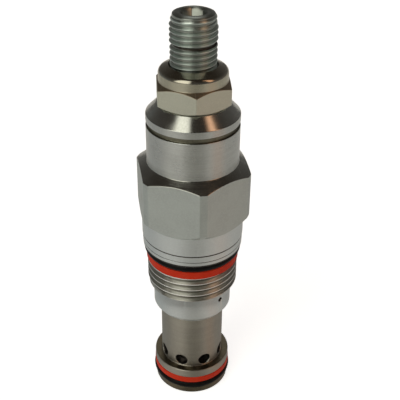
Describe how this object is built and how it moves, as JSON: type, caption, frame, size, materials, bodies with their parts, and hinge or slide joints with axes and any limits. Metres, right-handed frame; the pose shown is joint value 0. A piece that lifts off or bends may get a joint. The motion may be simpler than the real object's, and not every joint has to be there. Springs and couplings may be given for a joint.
{
  "type": "cartridge valve",
  "caption": "Screw-in hydraulic relief cartridge: hexagonal bonnet with a lock-nutted adjusting screw above, cavity thread with seals below, and a ported nose sleeve over an internal piston.",
  "frame": {"origin": "on the valve's axis, in the plane of the locating ring's underside, which stops on the cavity's spot face", "axes": "+Z along the axis towards the adjusting screw, -Z towards the nose; a corner of the valve hex points to -Y"},
  "size_m": [0.0222, 0.0248, 0.0899],
  "materials": {
    "bonnet_zinc": "satin",
    "body_zinc": "satin",
    "nut_steel": "satin",
    "screw_steel": "satin",
    "sleeve_steel": "ground",
    "ground_steel": "ground",
    "spring_steel": "satin",
    "screen_stainless": "woven",
    "seal_rubber": "semi-matt",
    "backup_urethane": "semi-gloss",
    "nylon": "matt"
  },
  "bodies": {
    "housing": {"bonnet": "bonnet_zinc", "threaded_body": "body_zinc", "joint_o_ring": "seal_rubber", "body_o_ring": "seal_rubber", "body_backup_ring": "backup_urethane", "pilot_seat": "ground_steel", "seat_o_ring": "seal_rubber", "nose_sleeve": "sleeve_steel", "sleeve_o_ring": "seal_rubber", "sleeve_retaining_wire": "spring_steel", "piston_stop_ring": "spring_steel", "nose_o_ring": "seal_rubber", "nose_backup_ring": "backup_urethane", "pilot_spring": "spring_steel", "main_spring": "spring_steel"},
    "carrier": {"spring_carrier": "ground_steel", "carrier_o_ring": "seal_rubber"},
    "screw": {"adjust_screw": "screw_steel"},
    "nut_insert": {"nut_seal_insert": "nylon"},
    "nut": {"lock_nut": "nut_steel"},
    "poppet": {"pilot_poppet": "ground_steel"},
    "piston": {"main_piston": "ground_steel", "orifice_plug": "ground_steel", "filter_screen": "screen_stainless", "screen_retainer": "ground_steel"}
  },
  "joints": [
    {"name": "adjuster_travel", "type": "slide", "parent": "housing", "child": "carrier", "axis": [0, 0, -1], "range_m": [0, 0.0053], "deforming": ["pilot_spring"]},
    {"name": "adjuster_turn", "type": "hinge", "parent": "carrier", "child": "screw", "pos_m": [0, 0, 0.04], "axis": [0, 0, -1], "range_deg": [0, 1800]},
    {"name": "lock_nut_rise", "type": "slide", "parent": "housing", "child": "nut_insert", "axis": [0, 0, 1], "range_m": [0, 0.00212]},
    {"name": "lock_nut_turn", "type": "hinge", "parent": "nut_insert", "child": "nut", "pos_m": [0, 0, 0.037], "axis": [0, 0, 1], "range_deg": [0, 720]},
    {"name": "pilot_poppet_lift", "type": "slide", "parent": "housing", "child": "poppet", "axis": [0, 0, 1], "range_m": [0, 0.0004]},
    {"name": "main_piston_lift", "type": "slide", "parent": "housing", "child": "piston", "axis": [0, 0, 1], "range_m": [0, 0.004], "deforming": ["main_spring"]}
  ],
  "couplings": [
    {"joint": "adjuster_travel", "follows": "adjuster_turn", "m_per_rad": 0.00016844},
    {"joint": "lock_nut_rise", "follows": "lock_nut_turn", "m_per_rad": 0.00016844}
  ]
}
